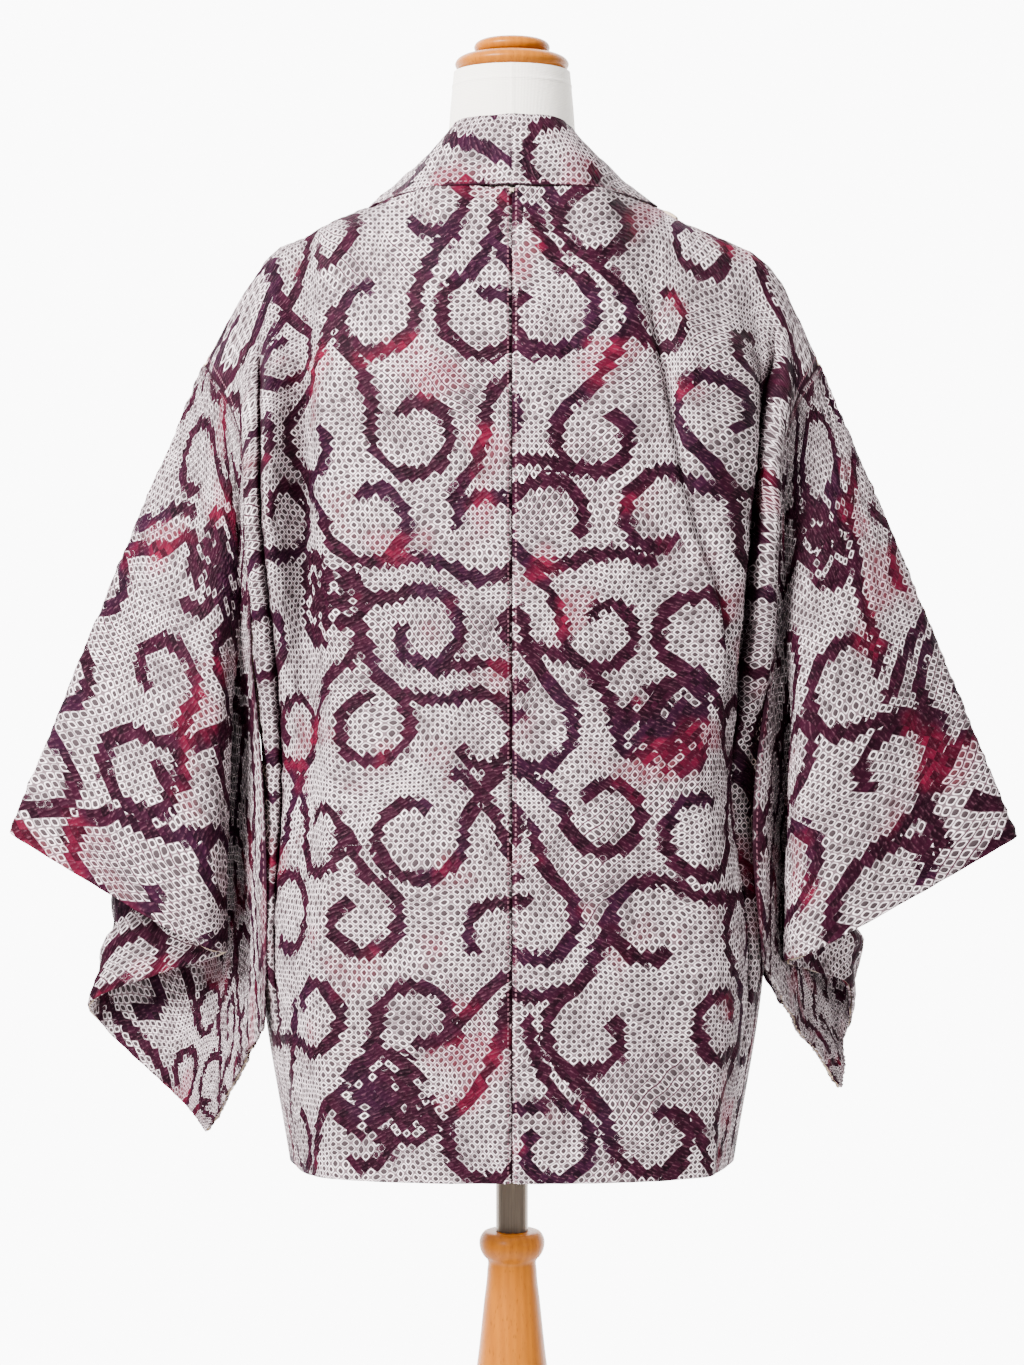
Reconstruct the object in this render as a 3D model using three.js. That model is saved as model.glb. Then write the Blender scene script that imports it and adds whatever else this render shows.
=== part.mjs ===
// A haori, the hip-length kimono jacket, worn by a limbless dress form on a turned stand.
// Millimetres, +Z up, origin on the floor at the pole's axis. The haori's back faces -Y, its open
// front faces +Y, and +X is the wearer's right.
import * as THREE from "three";

// ---- Driving dimensions -------------------------------------------------------------------------
const CLOTH_WALL = 2.0; // wall of a silk panel with its lining
const COLLAR_WALL = 3.0; // wall of the folded collar band
const SEAM_GAP = 0.5; // clear space between two sewn edges
const BODY_LENGTH = 745; // cloth from the back hem to the shoulder line
const NECK_ACROSS = 112; // cloth from the centre back to the side of the neck
const ARMHOLE_DROP = 243; // sewn depth of the armhole, from the shoulder fold down
const SLEEVE_DROP = 500; // sleeve from its top fold to its bottom seam
const SEAM_TURN = 1.2; // extra clearance where a seam turns a corner at the armpit or the slit
const GUSSET_TOP_GAP = 12; // how far the gusset stops below the top of the slit
const GUSSET_BULGE = 7; // how far the gusset swells outwards at the hem
const ARMHOLE_OVAL = { depth: 38, middle: 1088, height: 125 }; // the armhole as a flat oval
const TOP_FOLD = 9; // cloth on each side of the sleeve's top fold that rounds over it
const HANG_START = 0.08; // part of the sleeve, from the body, whose layers face straight back
const HANG_BLEND = 0.34; // the part after it, in which they turn to face across the folds
const FORM_BOTTOM_Z = 612;
const NECK_TOP_Z = 1421.6;
const STAND_GAP = 0.4; // clear space between stacked pieces of the form and its stand
const POLE_RADIUS = 12.5;
const BASE_RADIUS = 200;
const BASE_HEIGHT = 30;
const PILLAR_TOP_Z = 531;

// Stations up the body's back and down its front, by cloth length from the back hem.
const STATIONS = {
  hem: 0, hip: 150, slit: 314, pit: 392, chest: 488, blade: 585, yoke: 668, top: BODY_LENGTH,
  yokeF: 822, bladeF: 905, chestF: 1002, pitF: 1098, slitF: 1176, hipF: 1340, hemF: 1490,
};
const BACK = ["hem", "hip", "slit", "pit", "chest", "blade", "yoke", "top"];
const FRONT = ["yokeF", "bladeF", "chestF", "pitF", "slitF", "hipF", "hemF"];

// The armhole: cloth length from the shoulder fold, then x, half depth and z of its seam.
const ARMHOLE = [
  // q, x, half depth, z
  [0, 236, 0, 1200],
  [17, 229, 13, 1190],
  [41, 217, 26, 1173],
  [73, 206, 35, 1145],
  [148, 199, 38, 1070],
  [ARMHOLE_DROP, 197, 32, 975],
];

// Fold lines of one body panel, from the centre back to the side. Each row has the line's name, its
// place across the cloth, its points at the back stations and then at the front stations.
const CENTRE = [
  ["centre", 0,
    [[0.3, -100, 588], [0.3, -109, 738], [0.3, -104, 900], [0.3, -103, 975], [0.3, -107, 1068],
      [0.3, -107, 1166], [0.3, -94, 1248], [0.3, -70, 1326]], []],
  ["mid back", 64,
    [[62, -98, 588], [63, -106, 738], [60, -100, 900], [60, -100, 975], [62, -104, 1068],
      [64, -103, 1166], [66, -88, 1248], [66, -57, 1324]], []],
];
const NECK_LINE = ["neck", NECK_ACROSS,
  [[112, -89, 588], [114, -96, 738], [108, -89, 900], [106, -89, 975], [110, -95, 1068],
    [112, -93, 1166], [112, -67, 1247], [112, 0, 1318]],
  [[110, 60, 1262], [99, 103, 1182], [92, 116, 1080], [90, 120, 980], [88, 122, 904],
    [88, 124, 742], [88, 125, 590]]];
const LEFT_LINES = [
  ...CENTRE,
  NECK_LINE,
  ["trough lip", 141,
    [[139, -79, 588], [142, -86, 738], [133, -78, 900], [132, -80, 975], [138, -85, 1068],
      [139, -82, 1166], [138, -57, 1241], [137, 0, 1306]],
    [[137, 54, 1250], [129, 98, 1176], [124, 107, 1078], [122, 104, 980], [121, 105, 903],
      [124, 108, 741], [126, 110, 590]]],
  ["trough", 172,
    [[149, -69, 588], [158, -76, 738], [146, -66, 900], [148, -56, 975], [152, -50, 1068],
      [153, -48, 1166], [154, -34, 1233], [155, 0, 1298]],
    [[156, 46, 1238], [152, 80, 1170], [150, 82, 1076], [147, 78, 978], [146, 78, 902],
      [152, 88, 740], [152, 92, 589]]],
  ["roll", 213,
    [[157, -56, 588], [174, -58, 738], [160, -52, 900], [168, -62, 975], [179, -80, 1068],
      [181, -76, 1158], [183, -38, 1217], [185, 0, 1282]],
    [[185, 36, 1220], [180, 72, 1158], [180, 76, 1072], [172, 68, 976], [162, 58, 901],
      [176, 64, 739], [162, 68, 588]]],
];
const RIGHT_LINES = [
  ...CENTRE,
  NECK_LINE,
  ["pleat crest", 146,
    [[144, -76, 588], [148, -82, 738], [142, -76, 900], [146, -80, 975], [141, -88, 1068],
      [132, -90, 1166], [132, -61, 1241], [132, 0, 1308]],
    [[132, 56, 1252], [127, 99, 1177], [122, 108, 1078], [120, 106, 980], [120, 106, 903],
      [122, 109, 741], [124, 111, 590]]],
  ["pouch edge", 184,
    [[153, -61, 588], [169, -66, 738], [160, -58, 900], [166, -62, 975], [170, -66, 1068],
      [177, -62, 1162], [169, -42, 1227], [167, 0, 1292]],
    [[166, 46, 1234], [160, 84, 1168], [156, 84, 1075], [150, 80, 978], [148, 78, 902],
      [155, 88, 740], [152, 92, 589]]],
  ["valley", 212,
    [[157, -52, 588], [175, -54, 738], [165, -44, 900], [168, -32, 975], [176, -30, 1068],
      [185, -34, 1160], [186, -24, 1217], [188, 0, 1279]],
    [[188, 34, 1216], [182, 70, 1156], [180, 74, 1072], [170, 68, 976], [160, 60, 901],
      [172, 68, 739], [158, 74, 588]]],
  ["inner roll", 236,
    [[160, -44, 588], [181, -40, 738], [169, -26, 900], [184, -42, 975], [189, -54, 1068],
      [194, -50, 1152], [206, -22, 1202], [211, 0, 1250]],
    [[209, 20, 1204], [196, 50, 1152], [192, 54, 1068], [184, 46, 975], [168, 34, 900],
      [182, 46, 738], [163, 51, 588]]],
];
// The side line below the armhole: the open slit, then the seam with the gusset.
const SIDE_BACK = [[164, -33, 588], [187, -25, 738], [173, -5, 900], [197, -32, 975]];
const SIDE_FRONT = [[197, 32, 975], [173, 5, 900], [187, 25, 738], [164, 33, 588]];
const SIDE_ACROSS = 262;

// Collar: offsets of its middle and its fold from the neck seam, at lengths along that seam.
const COLLAR = [
  // along, middle (dx, dy, dz), fold (dx, dy, dz)
  [0, [0, 3, 29], [0, 9, 55]],
  [64, [-9, 7, 27], [-25, 14, 52]],
  [112, [-25, 4, 20], [-51, 6, 35]],
  [189, [-28, 14, 12], [-51, 22, 16]],
  [272, [-28, 9, 5], [-55, 12, 6]],
  [369, [-29, 4, 1], [-57, 5, 1]],
  [543, [-29, 2, 0], [-57, 2, 0]],
  [700, [-29, 2, 0], [-57, 1, 0]],
  [857, [-29, 2, 0], [-57, 1, 0]],
];

// Fold lines of the sleeve: name, place down the cloth at the body and at the cuff edge, middle point,
// end point on the cuff edge, then half the space between its two layers midway and at that edge.
const LEFT_SLEEVE = [
  ["top fold", 0, 0, [311.5, 0, 1020], [387, 0, 840], 7, 5.5],
  ["belly", 22, 93, [264, -30, 990], [308, -24, 797], 9, 5.5],
  ["near ridge", 50, 186, [223, -42, 965], [232, -38, 755], 5, 4],
  ["near turn", 78, 226, [218, -20, 938], [223, -5, 747], 5, 2.4],
  ["middle leg", 120, 280, [236, 3, 918], [272, 18, 729], 5, 1.3],
  ["far fold", 165, 340, [263, 22, 890], [331, 36, 702], 5, 1.3],
  ["far turn", 202, 366, [267, 43, 855], [324, 57, 682], 5, 1.3],
  ["far leg", ARMHOLE_DROP, 418, [232, 42, 797], [283, 56, 643], 5, 1.3],
  ["tail", 370, 462, [208, 14, 742], [253, 50, 616], 4, 1.3],
  ["bottom seam", SLEEVE_DROP, SLEEVE_DROP, [208, -4, 658], [240, 38, 601], 1.3, 1.3],
];
const RIGHT_SLEEVE = [
  ["top fold", 0, 0, [312.5, 0, 1018], [389, 0, 837], 7, 5.5],
  ["belly", 22, 98, [266, -29, 990], [299, -22, 790], 9, 5.5],
  ["near ridge", 50, 186, [222, -41, 966], [223, -36, 750], 5, 4],
  ["near turn", 78, 226, [217, -20, 938], [211, -10, 741], 5, 2.4],
  ["middle leg", 120, 280, [232, 4, 916], [234, 13, 731], 5, 1.3],
  ["far fold", 165, 340, [252, 22, 892], [264, 29, 716], 5, 1.3],
  ["far turn", 202, 366, [255, 43, 858], [267, 50, 690], 5, 1.3],
  ["far leg", ARMHOLE_DROP, 418, [228, 42, 806], [244, 60, 668], 5, 1.3],
  ["tail", 370, 462, [208, 12, 770], [246, 50, 652], 4, 1.3],
  ["bottom seam", SLEEVE_DROP, SLEEVE_DROP, [216, -6, 697], [258, 36, 636], 1.3, 1.3],
];
// The sleeve's free inner edge, below the armhole: q, x, y, z, half the space between its layers.
const LEFT_EDGE = [[ARMHOLE_DROP, 197, 0, 975, 32], [370, 192, -26, 838, 15],
  [SLEEVE_DROP, 186, -48, 700, 1.3]];
const RIGHT_EDGE = [[ARMHOLE_DROP, 197, 0, 975, 32], [370, 193, -22, 858, 15],
  [SLEEVE_DROP, 189, -42, 748, 1.3]];

// The dress form: z, half width, depth to the back, depth to the front.
const FORM = [
  [FORM_BOTTOM_Z, 146, 90, 92],
  [640, 154, 96, 100],
  [740, 160, 98, 104],
  [850, 136, 86, 94],
  [940, 114, 78, 86],
  [1030, 130, 88, 100],
  [1110, 144, 94, 110],
  [1170, 152, 94, 104],
  [1220, 162, 82, 84],
  [1250, 166, 60, 62],
  [1276.9, 158, 46, 46],
  [1294.9, 144, 40, 40],
  [1306.9, 124, 40, 40],
  [1314.9, 100, 44, 44],
  [1322, 76, 47, 48],
  [1338, 58, 50, 50],
  [1365, 50, 49, 50],
  [1395, 47, 47, 48],
  [NECK_TOP_Z, 44.5, 45, 45],
];

// Turned wood: height and radius, from the axis out and back to the axis.
const PILLAR = [
  [BASE_HEIGHT + STAND_GAP, 0], [BASE_HEIGHT + STAND_GAP, 58], [38, 62], [48, 61], [58, 50],
  [66, 42], [70, 44], [76, 43], [84, 31], [104, 25.5], [150, 28], [210, 36], [270, 41],
  [320, 40.5], [375, 35], [431, 26.6], [475, 21.8], [500, 19.2], [509, 19.2], [512, 22],
  [517, 24.6], [526, 24.6], [530, 21.8], [PILLAR_TOP_Z, 18], [PILLAR_TOP_Z, 0],
];
const BASE = [[0, 0], [0, BASE_RADIUS - 3], [3, BASE_RADIUS], [19, BASE_RADIUS], [25, 196],
  [28, 188], [BASE_HEIGHT, 176], [BASE_HEIGHT, 0]];
const CAP_LOWER = [[NECK_TOP_Z + STAND_GAP, 0], [NECK_TOP_Z + STAND_GAP, 38.5], [1424.5, 42],
  [1428, 43.5], [1431, 42], [1433.5, 38], [1435, 32], [1435, 0]];
const CAP_UPPER = [[1435.4, 0], [1435.4, 24], [1437.5, 27.5], [1440.5, 29], [1443.2, 28],
  [1445.6, 24.5], [1446.5, 18], [1446.5, 0]];

const MATERIALS = {
  silk: { color: 0xe9e0e2, roughness: 0.8, metalness: 0 },
  collar: { color: 0xd8ccd2, roughness: 0.8, metalness: 0 },
  linen: { color: 0xe6dfd2, roughness: 0.9, metalness: 0 },
  wood: { color: 0xc48a4a, roughness: 0.45, metalness: 0 },
  steel: { color: 0x8f8478, roughness: 0.35, metalness: 1 },
};

// ---- Curves and surfaces through tables ---------------------------------------------------------
const vec = (p) => new THREE.Vector3(p[0], p[1], p[2]);

// A point on the smooth curve through values (arrays of numbers) at rising knots.
function curveAt(knots, values, s) {
  const last = knots.length - 1;
  let i = 0;
  while (i < last - 1 && s > knots[i + 1]) i++;
  const slope = (k, c) => {
    const left = k > 0 ? (values[k][c] - values[k - 1][c]) / (knots[k] - knots[k - 1]) : null;
    const right = k < last ? (values[k + 1][c] - values[k][c]) / (knots[k + 1] - knots[k]) : null;
    if (left === null) return right;
    if (right === null) return left;
    const a = knots[k] - knots[k - 1];
    const b = knots[k + 1] - knots[k];
    return (left * b + right * a) / (a + b);
  };
  const h = knots[i + 1] - knots[i];
  const t = Math.min(1, Math.max(0, (s - knots[i]) / h));
  const t2 = t * t;
  const t3 = t2 * t;
  return values[i].map((v, c) =>
    (2 * t3 - 3 * t2 + 1) * v + (t3 - 2 * t2 + t) * h * slope(i, c) +
    (3 * t2 - 2 * t3) * values[i + 1][c] + (t3 - t2) * h * slope(i + 1, c));
}

// Values from a to b in equal steps for each pair of neighbouring knots.
function spaced(knots, steps) {
  const out = [knots[0]];
  for (let i = 0; i + 1 < knots.length; i++)
    for (let k = 1; k <= steps[i]; k++)
      out.push(knots[i] + ((knots[i + 1] - knots[i]) * k) / steps[i]);
  return out;
}

// Unit normals of a grid of points, from the neighbours of each point.
function gridNormals(points) {
  const n = points.length;
  const m = points[0].length;
  return points.map((row, i) => row.map((p, j) => {
    const along = points[Math.min(i + 1, n - 1)][j].clone().sub(points[Math.max(i - 1, 0)][j]);
    const across = row[Math.min(j + 1, m - 1)].clone().sub(row[Math.max(j - 1, 0)]);
    return along.cross(across).normalize();
  }));
}

// A closed wall of even thickness over a grid of points. `present(i, j)` tells which cells exist and
// `rimNormal(i, j)` may fix the direction of the wall's edge face along a seam.
function wallFromGrid(points, thickness, options = {}) {
  const { present = () => true, rimNormal = () => null } = options;
  const n = points.length;
  const m = points[0].length;
  const normals = gridNormals(points);
  const positions = [];
  const index = [];
  for (let i = 0; i < n; i++)
    for (let j = 0; j < m; j++) {
      const normal = rimNormal(i, j, points[i][j], normals[i][j]) || normals[i][j];
      for (const side of [0.5, -0.5]) {
        const p = points[i][j].clone().addScaledVector(normal, side * thickness);
        positions.push(p.x, p.y, p.z);
      }
    }
  const id = (i, j, side) => (i * m + j) * 2 + side;
  const cell = (i, j) => i >= 0 && j >= 0 && i < n - 1 && j < m - 1 && present(i, j);
  const rim = (a, b) => {
    index.push(a[0], a[1], b[0], b[0], a[1], b[1]);
  };
  for (let i = 0; i < n - 1; i++)
    for (let j = 0; j < m - 1; j++) {
      if (!cell(i, j)) continue;
      const c = [[i, j], [i + 1, j], [i + 1, j + 1], [i, j + 1]];
      const flip = (i + j) % 2;
      const tri = flip ? [[0, 1, 3], [1, 2, 3]] : [[0, 1, 2], [0, 2, 3]];
      for (const [a, b, d] of tri) {
        index.push(id(...c[a], 0), id(...c[b], 0), id(...c[d], 0));
        index.push(id(...c[a], 1), id(...c[d], 1), id(...c[b], 1));
      }
      const pair = ([a, b]) => [id(a, b, 0), id(a, b, 1)];
      const edges = [[0, 1, cell(i, j - 1)], [1, 2, cell(i + 1, j)], [2, 3, cell(i, j + 1)],
        [3, 0, cell(i - 1, j)]];
      for (const [a, b, joined] of edges) if (!joined) rim(pair(c[a]), pair(c[b]));
    }
  return solid(positions, index);
}

// Geometry from positions and triangles, turned so that its faces point out.
function solid(positions, index) {
  const geometry = new THREE.BufferGeometry();
  geometry.setAttribute("position", new THREE.Float32BufferAttribute(positions, 3));
  let volume = 0;
  for (let k = 0; k < index.length; k += 3) {
    const [a, b, c] = [0, 1, 2].map((o) => vec(positions.slice(index[k + o] * 3, index[k + o] * 3 + 3)));
    volume += a.dot(b.cross(c));
  }
  const faces = volume < 0 ? index.map((_, k) => index[k - (k % 3) + [0, 2, 1][k % 3]]) : index;
  geometry.setIndex(faces);
  geometry.computeVertexNormals();
  return geometry;
}

// ---- Body panels --------------------------------------------------------------------------------
// The armhole seam at cloth length q, on the back (sign -1) or the front (sign 1).
function armholeAt(q, sign) {
  const [x, depth, z] = curveAt(ARMHOLE.map((r) => r[0]), ARMHOLE.map((r) => r.slice(1)), q);
  return [x, sign * Math.max(0, depth), z];
}

// The direction in which both sewn edges of the armhole face.
function armholeNormal(p, side) {
  const { depth, middle, height } = ARMHOLE_OVAL;
  return new THREE.Vector3(side * 0.0001, p.y / depth ** 2, (p.z - middle) / height ** 2).normalize();
}

// The side line of a body panel at cloth length v.
function sideLine(v) {
  const s = STATIONS;
  if (v < s.pit) return curveAt([s.hem, s.hip, s.slit, s.pit], SIDE_BACK, v);
  if (v > s.pitF) return curveAt([s.pitF, s.slitF, s.hipF, s.hemF], SIDE_FRONT, v);
  const q = (ARMHOLE_DROP * Math.abs(v - s.top)) / (s.top - s.pit);
  return armholeAt(q, v < s.top ? -1 : 1);
}

// A fold line of the body at cloth length v.
function bodyLine(row, v) {
  const [, , back, front] = row;
  const knots = [...BACK, ...(front.length ? FRONT : [])].map((name) => STATIONS[name]);
  return curveAt(knots, [...back, ...front], v);
}

// The body panel's surface at u across the cloth and v along it.
function bodyPoint(lines, u, v) {
  const rows = v > STATIONS.top + 1e-6 ? lines.filter((r) => r[3].length) : lines;
  const knots = [...rows.map((r) => r[1]), SIDE_ACROSS];
  return curveAt(knots, [...rows.map((r) => bodyLine(r, v)), sideLine(v)], u);
}

function bodyPanel(lines, side) {
  const across = spaced([...lines.map((r) => r[1]), SIDE_ACROSS],
    lines.length === 6 ? [3, 3, 2, 4, 4, 5] : [3, 3, 2, 3, 3, 3, 4]);
  const names = [...BACK, ...FRONT];
  const along = spaced(names.map((name) => STATIONS[name]), [3, 3, 2, 3, 3, 3, 4, 4, 3, 3, 2, 2, 2, 2]);
  const topRow = along.indexOf(STATIONS.top);
  const neckColumn = across.indexOf(NECK_ACROSS);
  const points = along.map((v) => across.map((u) => {
    const uu = v > STATIONS.top ? Math.max(u, NECK_ACROSS) : u;
    const p = vec(bodyPoint(lines, uu, v));
    p.x *= side;
    return p;
  }));
  const last = across.length - 1;
  return wallFromGrid(points, CLOTH_WALL, {
    present: (i, j) => !(i >= topRow && j < neckColumn),
    rimNormal: (i, j, p, n) => {
      if (j === last && along[i] >= STATIONS.pit && along[i] <= STATIONS.pitF) {
        const a = armholeNormal(p, side);
        return n.dot(a) < 0 ? a.negate() : a;
      }
      if (i > topRow && j <= neckColumn) {
        const away = points[i][neckColumn + 1].clone().sub(points[i][neckColumn]);
        const down = points[Math.min(i + 1, along.length - 1)][neckColumn]
          .clone().sub(points[i - 1][neckColumn]);
        return down.cross(away).normalize();
      }
      return null;
    },
  });
}

// The gusset between a back and a front panel: narrow at the slit, wide at the hem.
function gusset(side) {
  const rows = spaced([STATIONS.hem, STATIONS.hip, STATIONS.slit - GUSSET_TOP_GAP], [4, 4]);
  const points = rows.map((v) => {
    const back = vec(sideLine(v));
    const front = vec(sideLine(STATIONS.top * 2 - v));
    const inset = SEAM_TURN / back.distanceTo(front);
    const bulge = GUSSET_BULGE * (1 - v / STATIONS.slit);
    return [0, 0.25, 0.5, 0.75, 1].map((f) => {
      const p = back.clone().lerp(front, inset + (1 - 2 * inset) * f);
      p.x = (p.x + bulge * Math.sin(Math.PI * f)) * side;
      return p;
    });
  });
  return wallFromGrid(points, CLOTH_WALL);
}

// Half of the collar band, from the centre back over the shoulder and down to the front hem.
function collarHalf(lines, side) {
  const knots = COLLAR.map((r) => r[0]);
  const stations = spaced(knots, [4, 4, 5, 4, 4, 4, 4, 4]);
  const points = stations.map((w) => {
    const onBack = w <= NECK_ACROSS;
    const edge = onBack ? bodyPoint(lines, w, STATIONS.top)
      : bodyLine(NECK_LINE, STATIONS.top + w - NECK_ACROSS);
    const [mx, my, mz, fx, fy, fz] = curveAt(knots, COLLAR.map((r) => [...r[1], ...r[2]]), w);
    const mid = new THREE.Vector3(mx, my, mz);
    const fold = new THREE.Vector3(fx, fy, fz);
    const start = mid.clone().setLength(SEAM_GAP + 1.0);
    return [0, 0.25, 0.5, 0.75, 1].map((f) => {
      const [x, y, z] = curveAt([0, 0.5, 1], [start, mid, fold].map((p) => p.toArray()), f);
      return new THREE.Vector3((edge[0] + x) * side, edge[1] + y, edge[2] + z);
    });
  });
  return wallFromGrid(points, COLLAR_WALL, {
    rimNormal: (i, j, p, n) => (i === 0 ? new THREE.Vector3(0, n.y, n.z).normalize() : null),
  });
}

// ---- Sleeves ------------------------------------------------------------------------------------
// The sleeve's middle surface at s down the cloth and t from the body (0) to the cuff edge (1), with
// half of the space between its two layers there.
function sleeveMiddle(lines, edge, s, t) {
  const rows = lines.map(([, q0, , mid, end, midGap, endGap]) => {
    let start;
    if (q0 <= ARMHOLE_DROP) {
      const [x, depth, z] = armholeAt(q0, 1);
      start = [x, 0, z, depth];
    } else start = curveAt(edge.map((r) => r[0]), edge.map((r) => r.slice(1)), q0);
    const [x, y, z] = curveAt([0, 0.5, 1], [start.slice(0, 3), mid, end], t);
    const opening = Math.max(0, 1 - 2 * t) ** 3 * (start[3] - midGap);
    return [x, y, z, midGap + opening + (endGap - midGap) * Math.max(0, 2 * t - 1)];
  });
  const knots = lines.map(([, q0, q1]) => (q0 + q1) / 2);
  return curveAt(knots, rows, s);
}

function sleevePoint(lines, edge, s, t) {
  const at = (a, b) => vec(sleeveMiddle(lines, edge, a, b));
  const knots = lines.map(([, q0, q1]) => (q0 + q1) / 2);
  const size = Math.abs(s);
  const here = at(size, t);
  if (t === 0) {
    // On the body's side the layers part straight to the back and to the front.
    let k = 0;
    while (k < knots.length - 2 && size > knots[k + 1]) k++;
    const f = (size - knots[k]) / (knots[k + 1] - knots[k]);
    const q = lines[k][1] + (lines[k + 1][1] - lines[k][1]) * f;
    const sign = s >= 0 ? -1 : 1;
    if (q <= ARMHOLE_DROP) {
      const p = vec(armholeAt(q, sign));
      p.x += SEAM_GAP + 0.1 + 1.6 * (q / ARMHOLE_DROP) ** 2; // wider towards the armpit
      return p;
    }
    const [x, y, z, gap] = curveAt(edge.map((r) => r[0]), edge.map((r) => r.slice(1)), q);
    return new THREE.Vector3(x + SEAM_GAP + 1.7, y + sign * gap, z); // as wide as at the armpit
  }
  const near = 2;
  const down = at(size + near, t).sub(at(Math.max(0, size - near), t));
  const out = at(size, Math.min(1, t + 0.01)).sub(at(size, Math.max(0, t - 0.01)));
  const normal = down.cross(out).normalize();
  const blend = Math.min(1, Math.max(0, (t - HANG_START) / HANG_BLEND));
  const facing = new THREE.Vector3(0, -1, 0).lerp(normal, blend * blend * (3 - 2 * blend)).normalize();
  const nose = Math.min(1, size / TOP_FOLD);
  const gap = sleeveMiddle(lines, edge, size, t)[3] * Math.sqrt(1 - (1 - nose) ** 2);
  return here.addScaledVector(facing, s >= 0 ? gap : -gap);
}

function sleeve(lines, edge, side) {
  const knots = lines.map(([, q0, q1]) => (q0 + q1) / 2);
  const half = [0, 2.5, 8, ...spaced(knots, [4, 3, 2, 3, 3, 2, 2, 2, 2]).slice(1)];
  const down = [...half.slice(1).reverse().map((s) => -s), ...half];
  const out = spaced([0, 0.12, 0.5, 1], [2, 4, 5]);
  const points = down.map((s) => out.map((t) => {
    const p = sleevePoint(lines, edge, s, t);
    p.x *= side;
    return p;
  }));
  return wallFromGrid(points, CLOTH_WALL, {
    rimNormal: (i, j, p, n) => {
      if (j !== 0) return null;
      const a = armholeNormal(p, side);
      return n.dot(a) < 0 ? a.negate() : a;
    },
  });
}

// ---- Dress form and stand -----------------------------------------------------------------------
// The padded body: oval sections, deeper to the front at the bust, closed at both ends.
function dressForm() {
  const around = 32;
  const knots = FORM.map((r) => r[0]);
  const heights = spaced(knots, [1, 2, 2, 2, 2, 2, 1, 1, 1, 1, 1, 1, 1, 1, 1, 1, 1, 1]);
  const positions = [0, 0, FORM_BOTTOM_Z];
  const index = [];
  for (const z of heights) {
    const [width, back, front] = curveAt(knots, FORM.map((r) => r.slice(1)), z);
    for (let k = 0; k < around; k++) {
      const a = (k / around) * Math.PI * 2;
      const depth = Math.sin(a) > 0 ? front : back;
      positions.push(width * Math.cos(a), depth * Math.sin(a), z);
    }
  }
  positions.push(0, 0, NECK_TOP_Z);
  const top = positions.length / 3 - 1;
  const ring = (i, k) => 1 + i * around + (k % around);
  for (let k = 0; k < around; k++) {
    index.push(0, ring(0, k + 1), ring(0, k));
    for (let i = 0; i + 1 < heights.length; i++)
      index.push(ring(i, k), ring(i, k + 1), ring(i + 1, k), ring(i, k + 1), ring(i + 1, k + 1),
        ring(i + 1, k));
    index.push(top, ring(heights.length - 1, k), ring(heights.length - 1, k + 1));
  }
  return solid(positions, index);
}

// A turned body from a table of heights and radii.
function turned(profile, around = 32) {
  const points = profile.map(([z, r]) => new THREE.Vector2(r, z));
  return new THREE.LatheGeometry(points, around).rotateX(Math.PI / 2);
}

// ---- Assembly -----------------------------------------------------------------------------------
const group = new THREE.Group();

function add(name, geometry, material) {
  const { color, roughness, metalness } = MATERIALS[material];
  const mesh = new THREE.Mesh(geometry,
    new THREE.MeshStandardMaterial({ color, roughness, metalness, name: material }));
  mesh.name = name;
  group.add(mesh);
}

add("body_left", bodyPanel(LEFT_LINES, -1), "silk");
add("body_right", bodyPanel(RIGHT_LINES, 1), "silk");
add("gusset_left", gusset(-1), "silk");
add("gusset_right", gusset(1), "silk");
add("collar_left", collarHalf(LEFT_LINES, -1), "collar");
add("collar_right", collarHalf(RIGHT_LINES, 1), "collar");
add("sleeve_left", sleeve(LEFT_SLEEVE, LEFT_EDGE, -1), "silk");
add("sleeve_right", sleeve(RIGHT_SLEEVE, RIGHT_EDGE, 1), "silk");
add("form_body", dressForm(), "linen");
add("cap_lower", turned(CAP_LOWER), "wood");
add("cap_upper", turned(CAP_UPPER), "wood");
add("pole", turned([[PILLAR_TOP_Z + STAND_GAP, 0], [PILLAR_TOP_Z + STAND_GAP, POLE_RADIUS],
  [FORM_BOTTOM_Z - STAND_GAP, POLE_RADIUS], [FORM_BOTTOM_Z - STAND_GAP, 0]]), "steel");
add("pillar", turned(PILLAR), "wood");
add("base", turned(BASE, 56), "wood");

export default group;
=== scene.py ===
import math

import bpy
import numpy as np
from mathutils.kdtree import KDTree
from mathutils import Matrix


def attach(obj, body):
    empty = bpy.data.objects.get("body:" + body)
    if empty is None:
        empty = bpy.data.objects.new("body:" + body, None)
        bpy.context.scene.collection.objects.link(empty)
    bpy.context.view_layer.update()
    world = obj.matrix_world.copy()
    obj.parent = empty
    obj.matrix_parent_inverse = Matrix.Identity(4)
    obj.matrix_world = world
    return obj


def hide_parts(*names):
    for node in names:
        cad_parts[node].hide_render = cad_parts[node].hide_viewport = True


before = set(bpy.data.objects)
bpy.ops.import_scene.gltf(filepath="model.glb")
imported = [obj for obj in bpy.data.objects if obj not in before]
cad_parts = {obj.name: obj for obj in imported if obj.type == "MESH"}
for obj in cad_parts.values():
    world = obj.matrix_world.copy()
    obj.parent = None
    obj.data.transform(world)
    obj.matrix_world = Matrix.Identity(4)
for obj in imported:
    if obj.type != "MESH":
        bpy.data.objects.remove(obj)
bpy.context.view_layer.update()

MM = 0.001

# ---- Camera -------------------------------------------------------------------------------------
camera = bpy.data.objects.new("camera", bpy.data.cameras.new("camera"))
camera.data.lens = 76.5
camera.data.sensor_width = 36
camera.location = (0, -2.231, 1.029)
camera.rotation_euler = (math.radians(90 - 1.886), 0, 0)  # looks a little down
bpy.context.scene.collection.objects.link(camera)
bpy.context.scene.camera = camera

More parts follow.
